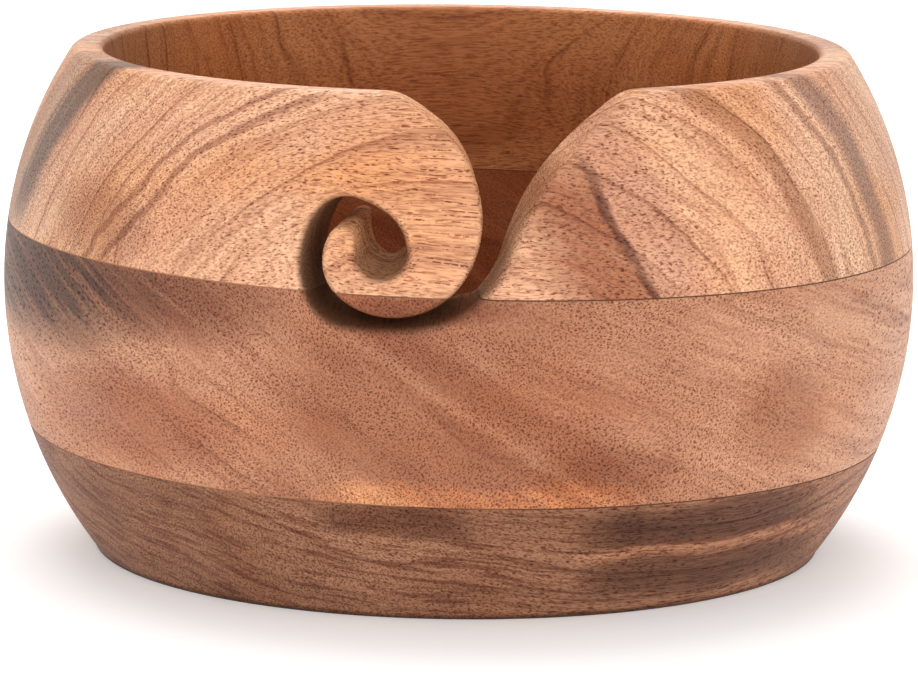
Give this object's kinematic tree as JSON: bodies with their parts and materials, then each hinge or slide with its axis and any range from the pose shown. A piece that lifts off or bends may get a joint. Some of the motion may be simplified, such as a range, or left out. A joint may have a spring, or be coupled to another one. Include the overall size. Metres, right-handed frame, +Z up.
{
  "type": "yarn bowl",
  "caption": "Round turned wooden yarn bowl with a flat rim and base, built up from face-glued boards, with a curled yarn slot sawn down through the front wall",
  "frame": {"origin": "middle of the flat underside, on the bowl's turning axis", "axes": "+Z up along the turning axis; -Y is the front, where the yarn slot is; +X to the right seen from the front"},
  "size_m": [0.1794, 0.1794, 0.099],
  "materials": {
    "upper_wood": "satin",
    "middle_wood": "satin",
    "base_wood": "satin",
    "glue": "satin"
  },
  "bodies": {
    "root": {"upper_board": "upper_wood", "middle_board": "middle_wood", "base_board": "base_wood", "hook_heel": "middle_wood", "upper_glue_line": "glue", "lower_glue_line": "glue", "heel_glue_line": "glue"}
  },
  "joints": []
}
